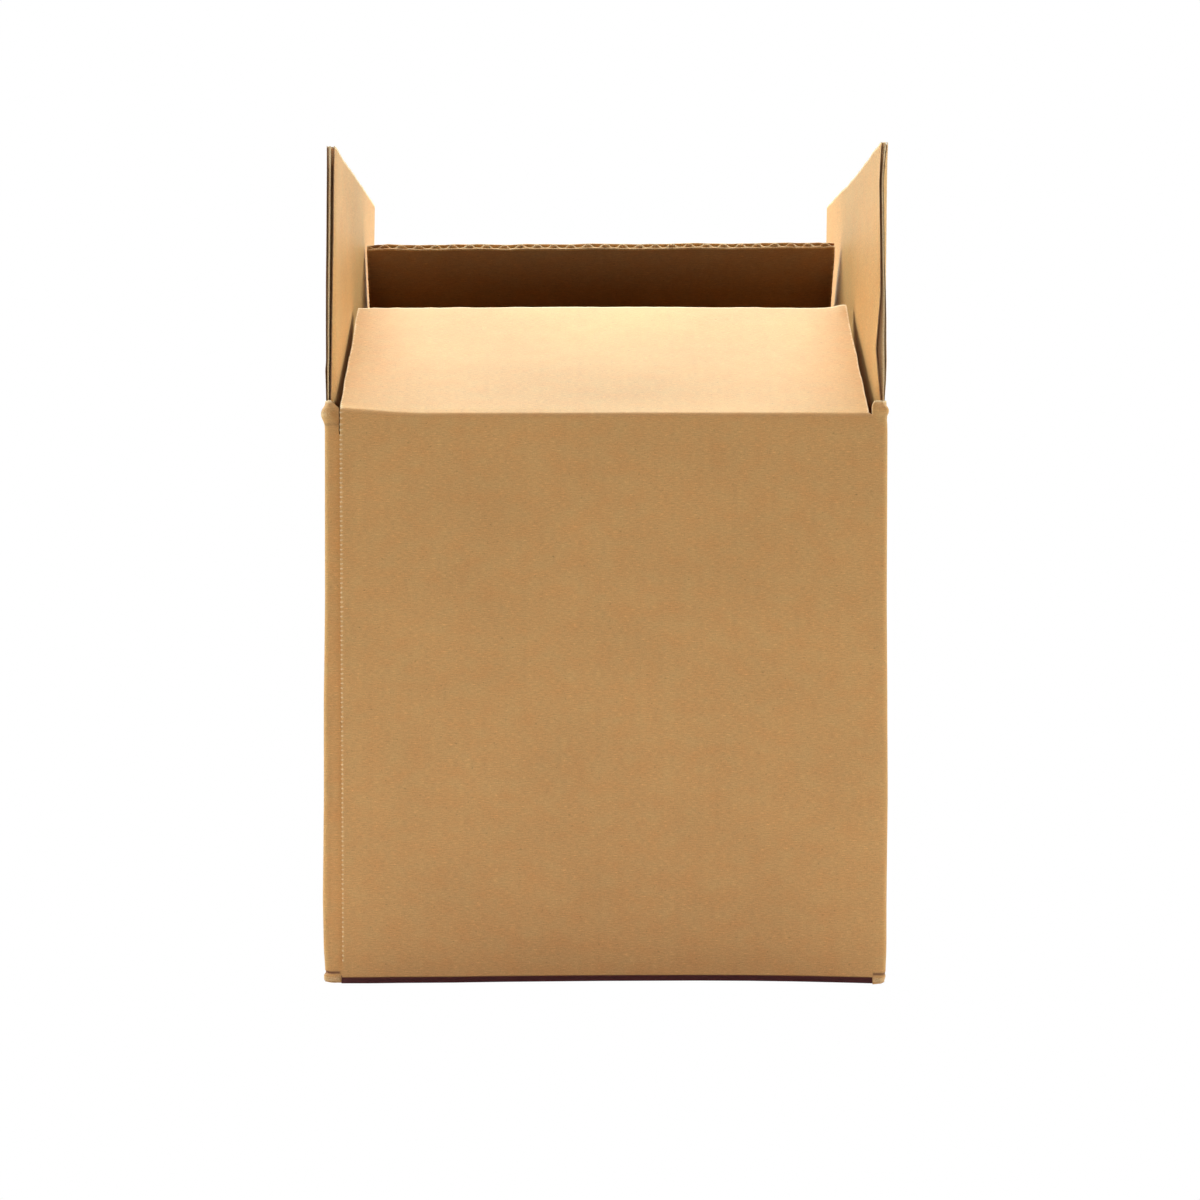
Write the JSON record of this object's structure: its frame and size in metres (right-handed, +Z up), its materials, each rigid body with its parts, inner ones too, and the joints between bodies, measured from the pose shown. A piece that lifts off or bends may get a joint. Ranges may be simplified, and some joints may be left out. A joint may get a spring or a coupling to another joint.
{
  "type": "open cardboard box",
  "caption": "Cube-shaped corrugated carton with its four upper flaps open: the side flaps stand, the front and rear flaps lean in.",
  "frame": {"origin": "middle of the footprint, on the surface that the carton stands on", "axes": "+Z up, +X to the right and +Y to the rear, seen from the front panel"},
  "size_m": [0.2362, 0.2362, 0.3534],
  "materials": {
    "board": "matte kraft paper"
  },
  "bodies": {
    "carton": {"carton_body": "board"},
    "front_closure": {"front_flap": "board"},
    "right_closure": {"right_flap": "board"},
    "rear_closure": {"rear_flap": "board"},
    "left_closure": {"left_flap": "board"}
  },
  "joints": [
    {"name": "front_flap_crease", "type": "hinge", "parent": "carton", "child": "front_closure", "pos_m": [0, -0.1175, 0.2394], "axis": [1, 0, 0], "range_deg": [-26.7, 173.3]},
    {"name": "right_flap_crease", "type": "hinge", "parent": "carton", "child": "right_closure", "pos_m": [0.1175, 0, 0.2394], "axis": [0, 1, 0], "range_deg": [0, 110]},
    {"name": "rear_flap_crease", "type": "hinge", "parent": "carton", "child": "rear_closure", "pos_m": [0, 0.1175, 0.2394], "axis": [-1, 0, 0], "range_deg": [-48.8, 151.2]},
    {"name": "left_flap_crease", "type": "hinge", "parent": "carton", "child": "left_closure", "pos_m": [-0.1175, 0, 0.2394], "axis": [0, -1, 0], "range_deg": [0, 110]}
  ]
}
